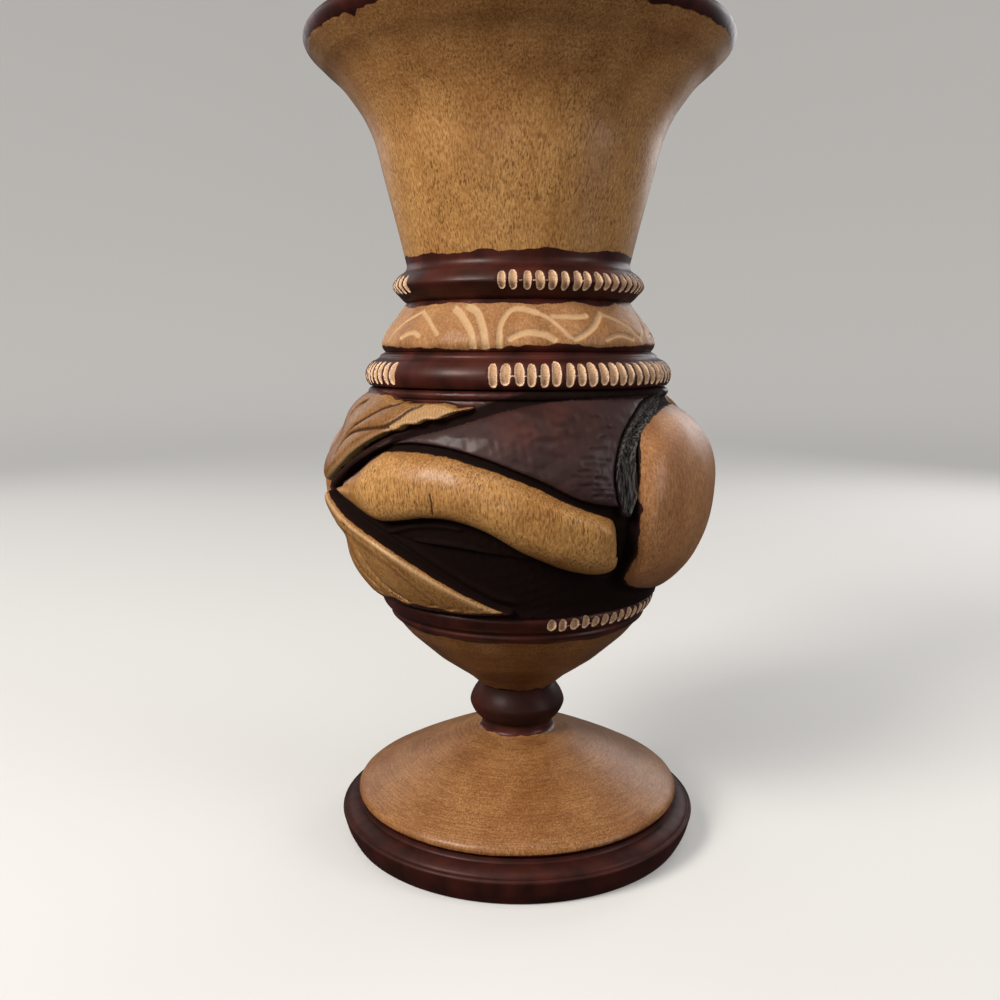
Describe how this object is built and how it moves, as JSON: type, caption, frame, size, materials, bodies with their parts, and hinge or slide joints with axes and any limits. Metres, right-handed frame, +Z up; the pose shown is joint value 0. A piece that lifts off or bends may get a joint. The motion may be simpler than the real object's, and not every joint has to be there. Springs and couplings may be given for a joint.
{
  "type": "carved wooden vase",
  "caption": "Turned and relief-carved wooden vase with a flared neck, notched rings, a carved belly, a knopped stem and a low domed foot.",
  "frame": {"origin": "middle of the flat underside of the foot plinth, which is the bottom centre of the bounding box", "axes": "+Z up along the turning axis; -Y is the side that the picture shows, +X is to its right"},
  "size_m": [0.1198, 0.1198, 0.233],
  "materials": {
    "golden_wood": "satin varnish over light brown wood with short dark pores",
    "dark_stained_wood": "dark red-brown stain, satin to gloss",
    "carved_wood": "polished golden relief over dark stained ground",
    "pale_wood": "pale satin wood with incised lines",
    "plain_wood": "unfinished"
  },
  "bodies": {
    "root": {"foot_plinth": "dark_stained_wood", "foot_dome": "golden_wood", "stem_knop": "dark_stained_wood", "stem_dowel": "plain_wood", "lower_bowl": "golden_wood", "lower_notched_ring": "dark_stained_wood", "carved_belly": "carved_wood", "shoulder_notched_ring": "dark_stained_wood", "carved_band": "pale_wood", "neck_notched_ring": "dark_stained_wood", "flared_neck": "golden_wood", "rim_ring": "dark_stained_wood"}
  },
  "joints": []
}
